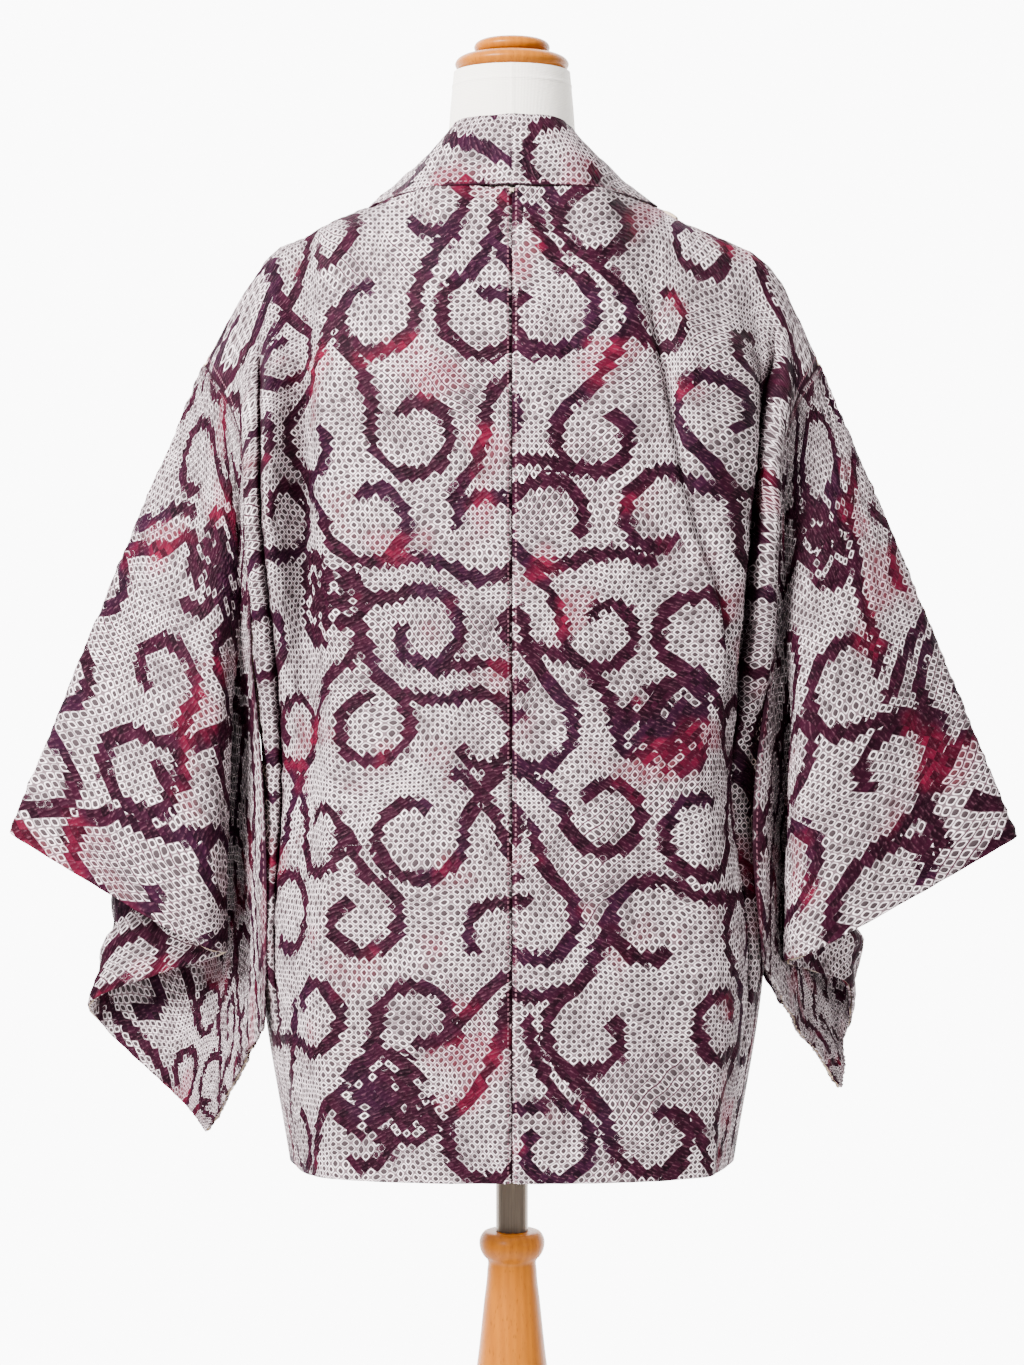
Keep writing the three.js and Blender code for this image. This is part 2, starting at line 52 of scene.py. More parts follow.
# ---- Tables of the haori ------------------------------------------------------------------------
SEAM_GAP = 0.5  # between sewn edges
BODY_WALL, GUSSET_WALL, COLLAR_WALL, SLEEVE_WALL = 1.7, 1.6, 2.6, 1.5
SLEEVE_DROP, SLEEVE_OUT = 500, 385  # one layer of a sleeve: from top fold to bottom, body to cuff
ARMHOLE_DROP = 243  # how much of the drop is sewn to the body
COLLAR_WIDTH = 57

# On a body strip, u runs across from the centre back seam to the side, and v along the cloth from
# the back hem, over the shoulder at TOP, to the front hem.
NECK_ACROSS, SIDE_ACROSS = 112, 262
HEM, HIP, SLIT, PIT, CHEST, BLADE, YOKE, TOP = 0, 150, 314, 392, 488, 585, 668, 745
YOKE_F, BLADE_F, CHEST_F, PIT_F, SLIT_F, HIP_F, HEM_F = 822, 905, 1002, 1098, 1176, 1340, 1490
BACK = [HEM, HIP, SLIT, PIT, CHEST, BLADE, YOKE, TOP]
FRONT = [YOKE_F, BLADE_F, CHEST_F, PIT_F, SLIT_F, HIP_F, HEM_F]
GUSSET_TOP = SLIT - 12
GUSSET_BULGE = 7

# Down the armhole seam: drop, then x, half depth and z.
ARMHOLE = [[0, 236, 0, 1200], [17, 229, 13, 1190], [41, 217, 26, 1173], [73, 206, 35, 1145],
           [148, 199, 38, 1070], [ARMHOLE_DROP, 197, 32, 975]]
# Lines of a body strip: u, points at each v of BACK, and at each v of FRONT.
CENTRE = [
    [0, [[0.3, -100, 588], [0.3, -109, 738], [0.3, -104, 900], [0.3, -103, 975],
         [0.3, -107, 1068], [0.3, -107, 1166], [0.3, -94, 1248], [0.3, -70, 1326]], []],
    [64, [[62, -98, 588], [63, -106, 738], [60, -100, 900], [60, -100, 975], [62, -104, 1068],
          [64, -103, 1166], [66, -88, 1248], [66, -57, 1324]], []],
]
NECK_LINE = [
    NECK_ACROSS,
    [[112, -89, 588], [114, -96, 738], [108, -89, 900], [106, -89, 975], [110, -95, 1068],
     [112, -93, 1166], [112, -67, 1247], [112, 0, 1318]],
    [[110, 60, 1262], [99, 103, 1182], [92, 116, 1080], [90, 120, 980], [88, 122, 904],
     [88, 124, 742], [88, 125, 590]],
]
LEFT_LINES = CENTRE + [NECK_LINE] + [
    [141, [[139, -79, 588], [142, -86, 738], [133, -78, 900], [132, -80, 975], [138, -85, 1068],
           [139, -82, 1166], [138, -57, 1241], [137, 0, 1306]],
     [[137, 54, 1250], [129, 98, 1176], [124, 107, 1078], [122, 104, 980], [121, 105, 903],
      [124, 108, 741], [126, 110, 590]]],
    [172, [[149, -69, 588], [158, -76, 738], [146, -66, 900], [148, -56, 975], [152, -50, 1068],
           [153, -48, 1166], [154, -34, 1233], [155, 0, 1298]],
     [[156, 46, 1238], [152, 80, 1170], [150, 82, 1076], [147, 78, 978], [146, 78, 902],
      [152, 88, 740], [152, 92, 589]]],
    [213, [[157, -56, 588], [175, -58, 738], [168, -52, 900], [171, -62, 975], [179, -80, 1068],
           [181, -76, 1158], [183, -38, 1217], [185, 0, 1282]],
     [[185, 36, 1220], [180, 72, 1158], [180, 76, 1072], [172, 68, 976], [162, 58, 901],
      [176, 64, 739], [162, 68, 588]]],
]
RIGHT_LINES = CENTRE + [NECK_LINE] + [
    [146, [[144, -76, 588], [148, -82, 738], [142, -76, 900], [146, -80, 975], [141, -88, 1068],
           [132, -90, 1166], [132, -61, 1241], [132, 0, 1308]],
     [[132, 56, 1252], [127, 99, 1177], [122, 108, 1078], [120, 106, 980], [120, 106, 903],
      [122, 109, 741], [124, 111, 590]]],
    [184, [[153, -61, 588], [169, -66, 738], [160, -58, 900], [166, -62, 975], [170, -66, 1068],
           [177, -62, 1162], [169, -42, 1227], [167, 0, 1292]],
     [[166, 46, 1234], [160, 84, 1168], [156, 84, 1075], [150, 80, 978], [148, 78, 902],
      [155, 88, 740], [152, 92, 589]]],
    [212, [[157, -52, 588], [175, -54, 738], [165, -44, 900], [168, -32, 975], [176, -30, 1068],
           [185, -34, 1160], [186, -24, 1217], [188, 0, 1279]],
     [[188, 34, 1216], [182, 70, 1156], [180, 74, 1072], [170, 68, 976], [160, 60, 901],
      [172, 68, 739], [158, 74, 588]]],
    [236, [[160, -44, 588], [181, -40, 738], [169, -26, 900], [184, -42, 975], [189, -54, 1068],
           [194, -50, 1152], [206, -22, 1202], [211, 0, 1250]],
     [[209, 20, 1204], [196, 50, 1152], [192, 54, 1068], [184, 46, 975], [168, 34, 900],
      [182, 46, 738], [163, 51, 588]]],
]
# The side edges of the open slits, below the armholes.
SIDE_BACK = [[164, -33, 588], [190, -25, 738], [193, -5, 900], [197, -32, 975]]
SIDE_FRONT = [[x, -y, z] for x, y, z in reversed(SIDE_BACK)]

# Along the neck seam: the collar's middle and its fold, as offsets from the seam.
COLLAR = [
    [0, [0, 3, 29], [0, 9, 55]], [64, [-9, 7, 27], [-25, 14, 52]], [112, [-25, 4, 20], [-51, 6, 35]],
    [189, [-28, 14, 12], [-51, 22, 16]], [272, [-28, 9, 5], [-55, 12, 6]],
    [369, [-29, 4, 1], [-57, 5, 1]], [543, [-29, 2, 0], [-57, 2, 0]],
    [700, [-29, 2, 0], [-57, 1, 0]], [857, [-29, 2, 0], [-57, 1, 0]],
]
# Down the sleeve: places down the cloth at the body and at the cuff edge, middle point, end point,
# half gaps between the layers at those points.
LEFT_SLEEVE = [
    [0, 0, [311.5, 0, 1020], [387, 0, 840], 7, 5.5],
    [22, 93, [264, -30, 990], [308, -24, 797], 9, 5.5],
    [50, 186, [223, -42, 965], [232, -38, 755], 5, 4],
    [78, 226, [218, -20, 938], [223, -5, 747], 5, 2.4],
    [120, 280, [236, 3, 918], [272, 18, 729], 5, 1.3],
    [165, 340, [263, 22, 890], [331, 36, 702], 5, 1.3],
    [202, 366, [267, 43, 855], [324, 57, 682], 5, 1.3],
    [ARMHOLE_DROP, 418, [232, 42, 797], [283, 56, 643], 5, 1.3],
    [370, 462, [208, 14, 742], [253, 50, 616], 4, 1.3],
    [SLEEVE_DROP, SLEEVE_DROP, [208, -4, 658], [240, 38, 601], 1.3, 1.3],
]
RIGHT_SLEEVE = [
    [0, 0, [312.5, 0, 1018], [389, 0, 837], 7, 5.5],
    [22, 98, [266, -29, 990], [299, -22, 790], 9, 5.5],
    [50, 186, [222, -41, 966], [223, -36, 750], 5, 4],
    [78, 226, [217, -20, 938], [211, -10, 741], 5, 2.4],
    [120, 280, [232, 4, 916], [234, 13, 731], 5, 1.3],
    [165, 340, [252, 22, 892], [264, 29, 716], 5, 1.3],
    [202, 366, [255, 43, 858], [267, 50, 690], 5, 1.3],
    [ARMHOLE_DROP, 418, [228, 42, 806], [262, 56, 670], 5, 1.3],
    [370, 462, [208, 12, 770], [261, 46, 652], 4, 1.3],
    [SLEEVE_DROP, SLEEVE_DROP, [216, -6, 697], [258, 36, 636], 1.3, 1.3],
]
# Down the sleeve's inner edge, below the armhole: place, then x, y, z and half gap.
LEFT_EDGE = [[ARMHOLE_DROP, 197, 0, 975, 32], [370, 192, -26, 838, 15],
             [SLEEVE_DROP, 186, -48, 700, 1.3]]
RIGHT_EDGE = [[ARMHOLE_DROP, 197, 0, 975, 32], [370, 193, -22, 858, 15],
              [SLEEVE_DROP, 189, -42, 748, 1.3]]

# ---- Tables of the form and stand ---------------------------------------------------------------
# The form: height, half width, depth to the back and to the front.
FORM = [
    [612, 146, 90, 92], [640, 154, 96, 100], [740, 160, 98, 104], [850, 136, 86, 94],
    [940, 114, 78, 86], [1030, 130, 88, 100], [1110, 144, 94, 110], [1170, 152, 94, 104],
    [1220, 162, 82, 84], [1250, 166, 60, 62], [1276.9, 158, 46, 46], [1294.9, 144, 40, 40],
    [1306.9, 124, 40, 40], [1314.9, 100, 44, 44], [1322, 76, 47, 48], [1338, 58, 50, 50],
    [1365, 50, 49, 50], [1395, 47, 47, 48], [1421.6, 44.5, 45, 45],
]
# Turned wood: height and radius.
PILLAR = [[30.4, 58], [38, 62], [48, 61], [58, 50], [66, 42], [70, 44], [76, 43], [84, 31],
          [104, 25.5], [150, 28], [210, 36], [270, 41], [320, 40.5], [375, 35], [431, 26.6],
          [475, 21.8], [500, 19.2], [509, 19.2], [512, 22], [517, 24.6], [526, 24.6], [530, 21.8],
          [531, 18]]
BASE = [[0, 197], [3, 200], [19, 200], [25, 196], [28, 188], [30, 176]]
CAP_LOWER = [[1422, 38.5], [1424.5, 42], [1428, 43.5], [1431, 42], [1433.5, 38], [1435, 32]]
CAP_UPPER = [[1435.4, 24], [1437.5, 27.5], [1440.5, 29], [1443.2, 28], [1445.6, 24.5], [1446.5, 18]]


# ---- Curves and meshes --------------------------------------------------------------------------
BESIDE_EDGE = (-3.6, -2.2, -1.2, -0.5, 0.5, 1.2, 2.2, 3.6)  # extra places beside an edge or a fold


def ramp(value, start, width):
    """0 at start and 1 at start + width, straight between and level beyond."""
    return np.clip((value - start) / width, 0, 1)


def mound(distance, width):
    """1 at no distance, and next to nothing past twice the width."""
    return np.exp(-(distance / width) ** 2)


def hermite(t, first, last, leave, arrive):
    """The curve from first to last over t from 0 to 1, with its slopes at both ends."""
    return ((2 * t**3 - 3 * t**2 + 1) * first + (t**3 - 2 * t**2 + t) * leave
            + (3 * t**2 - 2 * t**3) * last + (t**3 - t**2) * arrive)


def curve_at(knots, values, s):
    """The smooth curve through values at rising knots, read at each s."""
    knots, values, s = (np.asarray(a, float) for a in (knots, values, s))
    tail = (1,) * (values.ndim - 1)
    steps = np.diff(knots)
    rises = np.diff(values, axis=0) / steps.reshape(-1, *tail)
    slopes = np.empty_like(values)
    slopes[0], slopes[-1] = rises[0], rises[-1]
    before, after = steps[:-1].reshape(-1, *tail), steps[1:].reshape(-1, *tail)
    slopes[1:-1] = (rises[:-1] * after + rises[1:] * before) / (before + after)
    i = np.clip(np.searchsorted(knots, s) - 1, 0, len(knots) - 2)
    h = steps[i].reshape(-1, *tail)
    t = ramp(s, knots[i], steps[i]).reshape(-1, *tail)
    return hermite(t, values[i], values[i + 1], h * slopes[i], h * slopes[i + 1])


def read_table(rows, s):
    """The smooth curve through a table whose rows start with their place along it."""
    return curve_at([r[0] for r in rows], [r[1:] for r in rows], s)


def spread(marks, step, edges=()):
    """Places from the first mark to the last about a step apart, closer beside each edge."""
    out = [marks[0]]
    for a, b in zip(marks, marks[1:]):
        n = max(1, round((b - a) / step))
        out += [a + (b - a) * k / n for k in range(1, n + 1)]
    for edge in edges:
        out += [edge + d for d in BESIDE_EDGE if marks[0] < edge + d < marks[-1]]
    return np.unique(np.round(out, 4))


def ripple(a, b, seed, height, count, short, long):
    """An even, unrepeating ripple about height high, of count waves from short to long."""
    draw = np.random.default_rng(seed)
    total = np.zeros(np.broadcast(a, b).shape)
    for _ in range(count):
        wave = 2 * math.pi / draw.uniform(short, long)
        way = draw.uniform(0, math.pi)
        total += np.sin(wave * (a * math.cos(way) + b * math.sin(way)) + draw.uniform(0, 6.28))
    return total / math.sqrt(count) * height


def grid_normals(points, outward):
    """Unit normals of a grid of points, turned to the side that outward points to."""
    along = np.gradient(points, axis=0)
    across = np.gradient(points, axis=1)
    normal = np.cross(along, across)
    normal /= np.maximum(np.linalg.norm(normal, axis=2, keepdims=True), 1e-9)
    return normal if np.sum(normal * outward) > 0 else -normal


def new_piece(name, verts, faces, materials, node, indices=None):
    """A smooth piece shown in place of a node; indices say which material each face has."""
    mesh = bpy.data.meshes.new(name)
    mesh.from_pydata((verts * MM).tolist(), [], faces)
    for finish in materials:
        mesh.materials.append(finish)
    if indices is not None:
        mesh.polygons.foreach_set("material_index", np.asarray(indices, np.int32))
    mesh.polygons.foreach_set("use_smooth", np.ones(len(mesh.polygons), bool))
    mesh.update()
    piece = bpy.data.objects.new(name, mesh)
    bpy.context.scene.collection.objects.link(piece)
    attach(piece, "root")
    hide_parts(node)
    return piece


def give(mesh, name, values):
    """Stores one vector for each vertex, for the materials."""
    mesh.attributes.new(name, "FLOAT_VECTOR", "POINT").data.foreach_set(
        "vector", np.asarray(values, np.float32).ravel())


# ---- The dyed pattern ---------------------------------------------------------------------------
BAND = 5.2  # half width of a dyed band
HOOK_RADIUS = (27.0, 35.0)
HOOK_SWEEP = (230, 330)  # degrees that a hook curls through
HOOK_CURL = (0.3, 0.6)  # share of its radius that it loses on the way
TURNED_ROUND = 0.25  # share of the hooks that curl the other way
LEAVE, LAND = math.radians(62), math.radians(70)  # where a stem leaves its hook and meets the next
STEM_SWING = 0.9  # how far a stem keeps its direction at both ends
NO_FLOWER = (9999, 9999, 0)


def vine(seed, width, length, columns, rise=76.0):
    """Points along the scrolling bands on a width x length of cloth: curled hooks in rows, rise apart,
    each with a stem to a neighbour."""
    draw = np.random.default_rng(seed)
    rows = math.ceil(length / rise) + 1
    step = width / columns
    hooks = {}
    for i in range(-1, rows + 1):
        for j in range(-1, columns + 1):
            centre = np.array([(j + 0.25 + 0.5 * (i % 2)) * step + draw.uniform(-9, 9),
                               (i + 0.5) * rise + draw.uniform(-11, 11)])
            radius = draw.uniform(*HOOK_RADIUS)
            hand = 1 if (i + j) % 2 else -1
            if draw.random() < TURNED_ROUND:
                hand = -hand
            pick, sweep, curl = draw.random(), draw.uniform(*HOOK_SWEEP), draw.uniform(*HOOK_CURL)
            hooks[i, j] = centre, radius, hand, pick, sweep, curl
    points = []
    for (i, j), (centre, radius, hand, pick, sweep, curl) in hooks.items():
        odd = i % 2
        near = [(i, j + 1), (i + 1, j + odd), (i + 1, j - 1 + odd), (i - 1, j + odd)]
        other = hooks.get(near[int(pick * 3.999)]) or hooks.get((i, j - 1)) or hooks.get((i + 1, j))
        if other is None:
            continue
        away = other[0] - centre
        bearing = math.atan2(away[1], away[0])
        start = bearing + hand * LEAVE
        turn = np.linspace(0, math.radians(sweep), 180)
        r = (radius * (1 - curl * (turn / turn[-1]) ** 2.2))[:, None]
        angle = start + hand * turn
        hook = centre + r * np.stack([np.cos(angle), np.sin(angle)], 1)
        leave = hook[0] - hook[1]
        leave /= np.linalg.norm(leave)
        land = bearing + math.pi - hand * LAND
        foot = other[0] + other[1] * np.array([math.cos(land), math.sin(land)])
        far = np.linalg.norm(foot - hook[0])
        slide = np.array([-math.sin(land), math.cos(land)])
        if slide @ (foot - hook[0]) < 0:
            slide = -slide
        t = np.linspace(0, 1, max(2, int(far)))[:, None]
        swing = far * STEM_SWING
        points += [hook, hermite(t, hook[0], foot, swing * leave, swing * slide)]
    return np.concatenate(points)


def dye(mesh, cloth, bands, flowers, offset):
    """Stores each vertex's place on the cloth, its distance to the edge of the nearest band with the
    direction away from that band, and its place in the nearest flower."""
    tree = KDTree(len(bands))
    for k, (u, v) in enumerate(bands):
        tree.insert((u, v, 0), k)
    tree.balance()
    from_band = np.zeros((len(cloth), 3))
    for k, (u, v) in enumerate(cloth):
        nearest, _, gap = tree.find((u, v, 0))
        length = max(gap, 1e-6)
        from_band[k] = gap - BAND, (u - nearest.x) / length, (v - nearest.y) / length
    give(mesh, "cloth", np.c_[cloth, np.full(len(cloth), offset)])
    give(mesh, "dye", from_band)
    spots = np.array(flowers or [NO_FLOWER], float)
    away = cloth[:, None, :] - spots[None, :, :2]
    nearest = np.argmin((away**2).sum(2), axis=1)
    give(mesh, "flower", np.c_[away[np.arange(len(cloth)), nearest], spots[nearest, 2]])


def shell(name, points, normals, wall, cloth, bands, flowers, outer, inner,
          present=None, deep=None):
    """A sheet of cloth with its own thickness: outer on the outside and round its edges, inner on the
    inside. Present says which cells of the grid have cloth. Deep is 0 on open cloth and up to 1 in
    the folds, where the silk is darkened as painted shade."""
    n, m = points.shape[:2]
    flat = np.sum(np.cross(np.gradient(points, axis=0), np.gradient(points, axis=1)) * normals) > 0
    cells = np.ones((n - 1, m - 1), bool) if present is None else present
    ident = np.arange(n * m).reshape(n, m)
    quad = np.stack([ident[:-1, :-1], ident[1:, :-1], ident[1:, 1:], ident[:-1, 1:]], 2)[cells]
    front = quad if flat else quad[:, ::-1]
    back = front[:, ::-1] + n * m
    # The sides that belong to one cell alone are the sheet's edges.
    pairs = np.concatenate([front[:, [k, (k + 1) % 4]] for k in range(4)])
    keys = np.sort(pairs, axis=1)
    _, first, counts = np.unique(keys, axis=0, return_index=True, return_counts=True)
    rim = pairs[first[counts == 1]]
    edge = np.stack([rim[:, 1], rim[:, 0], rim[:, 0] + n * m, rim[:, 1] + n * m], 1)
    faces = np.concatenate([front, edge, back])
    indices = np.r_[np.zeros(len(front) + len(edge)), np.ones(len(back))]
    half = normals * wall / 2
    both = np.concatenate([(points + half).reshape(-1, 3), (points - half).reshape(-1, 3)])
    places = np.concatenate([cloth.reshape(-1, 2)] * 2)
    used, faces = np.unique(faces, return_inverse=True)
    piece = new_piece(f"{name}_cloth", both[used], faces.reshape(-1, 4).tolist(),
                      [outer, inner], name, indices)
    # The noise in the silk differs from piece to piece, by its node's place among the names.
    offset = 1000.0 * (1 + sorted(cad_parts).index(name))
    dye(piece.data, places[used], bands, flowers, offset)
    # Deep is painted shade, stored so that the silk can darken its folds.
    deep = np.zeros(points.shape[:2]) if deep is None else deep
    give(piece.data, "fold", np.repeat(np.r_[deep.ravel(), deep.ravel()][used], 3))
    return piece


# ---- Shader maths -------------------------------------------------------------------------------
def operator(operation, swapped=False):
    """A method of Wire that adds the Math node of an operation."""
    def method(self, *other):
        values = (self, *other)
        return self.math(operation, *(values[::-1] if swapped else values))
    return method


class Wire:
    """One socket of a node tree, on which plain arithmetic adds Math nodes."""

    __add__ = __radd__ = operator("ADD")
    __mul__ = __rmul__ = operator("MULTIPLY")
    __sub__, __rsub__ = operator("SUBTRACT"), operator("SUBTRACT", swapped=True)
    __truediv__ = operator("DIVIDE")
    __pow__ = operator("POWER")
    __lt__ = operator("LESS_THAN")
    __abs__ = operator("ABSOLUTE")

    def __init__(self, tree, socket):
        self.tree, self.socket = tree, socket

    def node(self, kind, settings=None, sockets=None, out=0):
        """Any node, from its type, its settings, and the values or wires of its sockets."""
        made = self.tree.nodes.new(kind)
        for key, value in (settings or {}).items():
            setattr(made, key, value)
        for key, value in (sockets or {}).items():
            if isinstance(value, Wire):
                self.tree.links.new(value.socket, made.inputs[key])
            else:
                made.inputs[key].default_value = value
        return Wire(self.tree, made.outputs[out])

    def math(self, operation, *values):
        return self.node("ShaderNodeMath", {"operation": operation}, dict(enumerate(values)))

    def smooth(self, low, high):
        """0 below low, 1 above high, eased between."""
        return self.node("ShaderNodeMapRange", {"interpolation_type": "SMOOTHSTEP"},
                         {"Value": self, "From Min": low, "From Max": high})

    def mix(self, first, second):
        """The colour between first and second, at this socket's value."""
        first, second = (c if isinstance(c, Wire) else (*c, 1) for c in (first, second))
        return self.node("ShaderNodeMix", {"data_type": "RGBA"}, {0: self, 6: first, 7: second}, 2)

    def noise(self, scale, detail=2.0, rough=0.5, out=0):
        return self.node("ShaderNodeTexNoise", {}, {"Vector": self, "Scale": scale, "Detail": detail,
                                                    "Roughness": rough}, out)

    def parts(self):
        split = self.node("ShaderNodeSeparateXYZ", {}, {0: self})
        return [Wire(self.tree, socket) for socket in split.socket.node.outputs]

    def vector(self, x, y, z):
        return self.node("ShaderNodeCombineXYZ", {}, {"X": x, "Y": y, "Z": z})


def material(name, **constants):
    """A new material, its node tree and its shader, with the constants set on the shader itself."""
    made = bpy.data.materials.new(name)
    made.use_nodes = True
    tree = made.node_tree
    shader = tree.nodes["Principled BSDF"]
    for key, value in constants.items():
        shader.inputs[key.replace("_", " ")].default_value = value
    return made, tree, shader


def link(wire, node, socket):
    wire.tree.links.new(wire.socket, node.inputs[socket])


def bumped(height, shader, distance, strength=1.0):
    """Links a height to the shader as bump, at most distance metres deep."""
    bump = height.node("ShaderNodeBump", {}, {"Height": height, "Distance": distance,
                                              "Strength": strength})
    link(bump, shader, "Normal")


def stored(tree, name):
    """A vector stored on the mesh."""
    node = tree.nodes.new("ShaderNodeAttribute")
    node.attribute_name = name
    return Wire(tree, node.outputs["Vector"])


def place(tree):
    """The point on the object, in metres."""
    node = tree.nodes.new("ShaderNodeTexCoord")
    return Wire(tree, node.outputs["Object"])


# Silk, in mm.
CELL = 5.4  # side of one tied cell
WANDER = 22  # how far the rows of cells stray
FLOWER_RADIUS, FLOWER_LOBE = 36, 5
PETAL_START, PETAL_LENGTH, PETAL_LINE = 7, 23, 2.4
STITCH, STITCH_LINE, STITCH_WIDTH = 3.6, 3.0, 0.42  # spacing, way from the join, half width
# Its colours: each dye from its dark to its light end, then the pale silk and its blush.
PLUM = (0.0032, 0.0005, 0.0018), (0.018, 0.0021, 0.0078)
VIOLET = (0.0033, 0.0007, 0.0024), (0.0150, 0.0024, 0.0098)
CRIMSON = (0.028, 0.0010, 0.0052), (0.085, 0.0028, 0.0140)
EYE = (0.007, 0.0012, 0.003), (0.050, 0.003, 0.008)
PALE = (0.98, 0.835, 0.860), (0.76, 0.46, 0.52)
# Painted highlight on the crests of the small folds in the dyed cloth.
FOLD_CREST_HIGHLIGHT = (0.17, 0.068, 0.095)
PUCKER = (0.028, 0.008, 0.014)
# Dark joints; the same colour also serves as painted shade in the folds.
SEAM_AND_FOLD_SHADE = (0.016, 0.004, 0.008)
THREAD = (0.16, 0.07, 0.09)


def tied_silk(name, rows, seams):
    """Silk tied cell by cell and dyed: white puckered rings with a dark eye, and plum bands. Rows is
    how dark the lines between the rows of cells are, and seams the places u of the sewn joins."""
    made, tree, shader = material(name, Roughness=0.8, Specular_IOR_Level=0.03)
    cloth = stored(tree, "cloth")
    gap, way_u, way_v = stored(tree, "dye").parts()
    deep = stored(tree, "fold").parts()[0]
    off_u, off_v, turn = stored(tree, "flower").parts()
    u, v, strip = cloth.parts()
    # The rows wander a little, as hand-tied rows do.
    drift_u, drift_v, _ = cloth.noise(0.016, out=1).parts()
    wu = u + (drift_u - 0.5) * WANDER
    wv = v + (drift_v - 0.5) * WANDER
    # The cells stand on their corners: ia, ib number them, and fa, fb are places in one.
    a = (wu + wv) / (CELL * math.sqrt(2))
    b = (wu - wv) / (CELL * math.sqrt(2))
    ia, ib = cloth.math("FLOOR", a), cloth.math("FLOOR", b)
    fa, fb = a - ia - 0.5, b - ib - 0.5
    du = (fa + fb) * (CELL / math.sqrt(2))
    dv = (fa - fb) * (CELL / math.sqrt(2))
    cell = cloth.vector(ia, ib, strip)
    odds = cloth.node("ShaderNodeTexWhiteNoise", {"noise_dimensions": "3D"}, {"Vector": cell})
    # One answer for each cell: is its centre inside a band or a flower?
    centre_gap = gap - way_u * du - way_v * dv
    cu, cv = off_u - du, off_v - dv
    far = cloth.math("SQRT", cu * cu + cv * cv)
    angle = cloth.math("ARCTAN2", cv, cu) + turn
    lobes = cloth.math("COSINE", angle * 3)
    petal = PETAL_START + PETAL_LENGTH * (abs(cloth.math("SINE", angle * 2.5)) ** 0.6) - odds * 2
    drawn = abs(far - petal) < PETAL_LINE
    in_flower = (far - lobes * FLOWER_LOBE) < FLOWER_RADIUS
    banded = centre_gap < (odds - 0.5) * 2.2
    dyed = cloth.math("MAXIMUM", banded * (1 - in_flower), in_flower * (1 - drawn))
    # The ring of a tied cell.
    aa, ab = abs(fa), abs(fb)
    ring = (aa * aa * aa + ab * ab * ab) ** (1 / 3)
    eye_size = 0.215 + cloth.noise(0.02, 1.0) * 0.14 + odds * 0.09
    eye = 1 - (ring / eye_size).smooth(0.86, 1.28)
    crease = ring.smooth(0.35, 0.48)
    row = ab.smooth(0.33, 0.47)
    strain = cloth.noise(0.009, 1.0).smooth(0.45, 0.62)
    tint = cloth.noise(0.012, 3.0, 0.6)
    # Dyed cloth: small folds with painted highlight on their crests, and crimson stretches among the
    # plum.
    fold = cloth.math("SINE", (wu * 0.5 + wv + (odds * 7)) * 1.9) * 0.5 + 0.5
    crest_highlight = (fold ** 5) * cloth.noise(0.3).smooth(0.4, 0.7)
    blotch = cloth.noise(0.014, 2.0, 0.55)
    hot = blotch.smooth(0.56, 0.66) * (odds * 0.7 + 0.3)
    plum = cloth.noise(0.011, 1.0).smooth(0.50, 0.60).mix(odds.mix(*PLUM), odds.mix(*VIOLET))
    # The crests of the small folds are lightened: painted highlight.
    dark = (crest_highlight * 0.32).mix(hot.mix(plum, odds.mix(*CRIMSON)), FOLD_CREST_HIGHLIGHT)
    # The pale cloth: blushes pink where dye has crept in.
    blush = blotch.smooth(0.52, 0.68) * 0.3 + (tint - 0.5) * 0.25
    edge = cloth.math("MAXIMUM", crease * 0.92, row * (strain * 0.4 + rows))
    tied = edge.mix(blush.smooth(0.0, 0.35).mix(*PALE), PUCKER)
    tied = (eye * 0.97).mix(tied, hot.mix(*EYE))
    colour = dyed.mix(tied, dark)
    # Each join is a dark line with a row of small stitches beside it.
    beside = abs(abs(u) - seams[0])
    for other in seams[1:]:
        beside = cloth.math("MINIMUM", beside, abs(u - other))
    join = 1 - beside.smooth(0.7, 1.5)
    stitch = (abs(beside - STITCH_LINE) < STITCH_WIDTH) * (cloth.math("FRACT", v / STITCH) < 0.55)
    # Deep darkens the folds as painted shade, in the same colour as the joins.
    colour = cloth.math("MAXIMUM", join * 0.88, deep * 0.8).mix(colour, SEAM_AND_FOLD_SHADE)
    colour = (stitch * 0.75).mix(colour, THREAD)
    link(colour, shader, "Base Color")
    link(0.86 - dyed * 0.22 - fold * 0.06, shader, "Roughness")
    dome = (1 - ring.smooth(0.12, 0.5)) * 0.8 - eye * 0.55
    height = dyed.node("ShaderNodeMix", {}, {0: dyed, 2: dome, 3: fold * 0.35 + 0.1})
    height = height + cloth.noise(1.4) * 0.12 - stitch * 0.9
    bumped(height, shader, 0.0011, 0.85)
    return made


def threads(across, along, pitch_across, pitch_along):
    """Woven threads both ways: two waves between 0 and 1."""
    return [at.math("SINE", at * pitch) * 0.5 + 0.5
            for at, pitch in ((across, pitch_across), (along, pitch_along))]


def lining(name):
    """Plain beige silk with a fine plain weave."""
    made, tree, shader = material(name, Sheen_Weight=0.15)
    cloth = stored(tree, "cloth")
    u, v, _ = cloth.parts()
    warp, weft = threads(u, v, 9, 9)
    link(cloth.noise(0.02, 3.0).mix((0.42, 0.30, 0.20), (0.56, 0.43, 0.31)), shader, "Base Color")
    link(0.6 - warp * 0.1, shader, "Roughness")
    bumped(warp * 0.5 + weft * 0.5, shader, 0.00015)
    return made


